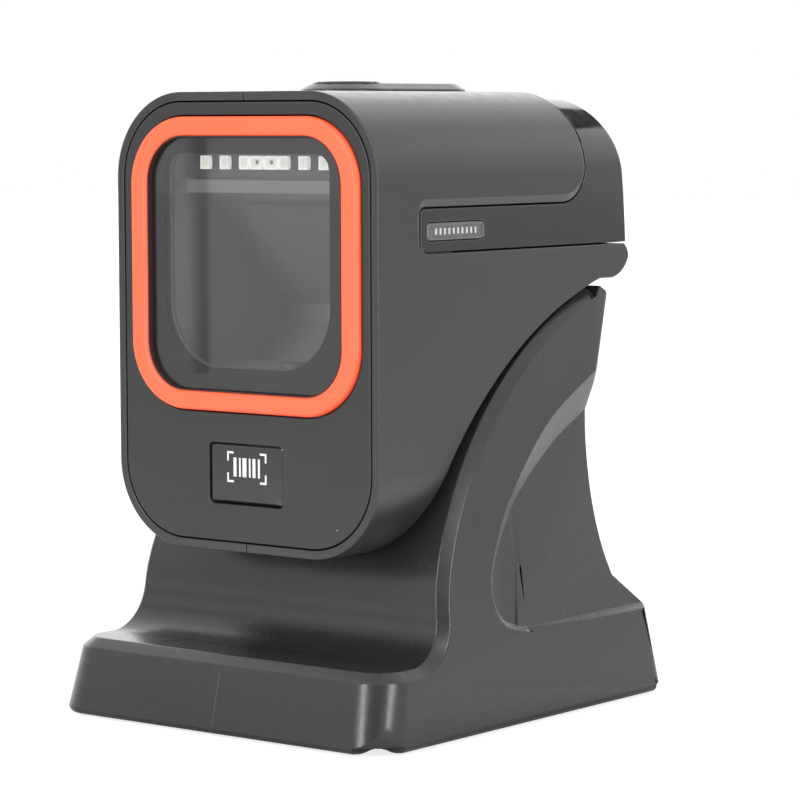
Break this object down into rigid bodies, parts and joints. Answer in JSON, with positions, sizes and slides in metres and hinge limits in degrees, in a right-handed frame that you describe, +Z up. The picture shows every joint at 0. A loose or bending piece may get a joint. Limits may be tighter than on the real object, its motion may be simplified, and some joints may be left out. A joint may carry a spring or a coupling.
{
  "type": "desktop barcode scanner",
  "caption": "Hands-free desktop barcode scanner: a rounded scan head with an orange-rimmed window tilts on a swept neck that rises from a weighted tray base.",
  "frame": {"origin": "centre of the scanner's footprint, on the counter it stands on", "axes": "+Z up; the scan window faces -Y; +X is the side with its light bar that a viewer standing at the front right sees"},
  "size_m": [0.1, 0.1141, 0.15],
  "materials": {
    "base_plastic": "fine textured matte moulded ABS, near-black grey",
    "head_plastic": "fine textured matte moulded ABS, near-black grey",
    "gloss_cover": "polished near-black ABS",
    "panel_plastic": "satin near-black plastic",
    "orange_ring": "satin bright orange plastic",
    "window_glass": "clear lightly tinted window",
    "black_print": "black printed film",
    "badge_gloss": "polished black insert",
    "inner_plastic": "smooth grey inner moulding",
    "mirror": "front-surface mirror",
    "circuit_board": "green soldermask laminate",
    "led_white": "white light-emitting diode package",
    "frosted_lens": "frosted translucent light bar",
    "steel": "bright steel",
    "rubber": "black rubber",
    "lens_glass": "coated camera lens"
  },
  "bodies": {
    "base": {"base_shell": "base_plastic", "base_bottom_plate": "base_plastic", "ballast_weight": "steel", "interface_board": "circuit_board", "cable_jack": "inner_plastic", "hinge_cradle": "inner_plastic", "hinge_pin": "steel", "pin_clip_right": "steel", "pin_clip_left": "steel", "friction_washer_right": "rubber", "friction_washer_left": "rubber", "rubber_foot_1": "rubber", "base_screw_1": "steel", "rubber_foot_2": "rubber", "base_screw_2": "steel", "rubber_foot_3": "rubber", "base_screw_3": "steel", "rubber_foot_4": "rubber", "base_screw_4": "steel"},
    "head": {"head_shell_right": "head_plastic", "head_shell_left": "head_plastic", "rear_cover": "gloss_cover", "front_panel": "panel_plastic", "accent_ring": "orange_ring", "scan_window": "window_glass", "window_mask": "black_print", "badge_plate": "badge_gloss", "light_tunnel": "inner_plastic", "fold_mirror": "mirror", "led_board": "circuit_board", "led_1": "led_white", "led_2": "led_white", "led_3": "led_white", "led_4": "led_white", "led_5": "led_white", "led_6": "led_white", "led_7": "led_white", "led_8": "led_white", "scan_engine": "inner_plastic", "engine_lens": "lens_glass", "main_board": "circuit_board", "buzzer": "panel_plastic", "status_lens_right": "frosted_lens", "status_lens_left": "frosted_lens", "status_light_board_right": "circuit_board", "status_light_board_left": "circuit_board", "tilt_bracket": "steel", "top_pad": "panel_plastic", "button_board": "circuit_board", "tact_switch": "steel", "bracket_screw_1": "steel", "bracket_screw_2": "steel", "bracket_screw_3": "steel", "bracket_screw_4": "steel"},
    "button": {"top_button": "gloss_cover"}
  },
  "joints": [
    {"name": "head_tilt", "type": "hinge", "parent": "base", "child": "head", "pos_m": [0, 0.033, 0.09], "axis": [-1, 0, 0], "range_deg": [0, 8]},
    {"name": "button_press", "type": "slide", "parent": "head", "child": "button", "axis": [0, 0, -1], "range_m": [0, 0.0008], "stiffness_N_per_m": 1500, "springref_m": -0.0004}
  ]
}
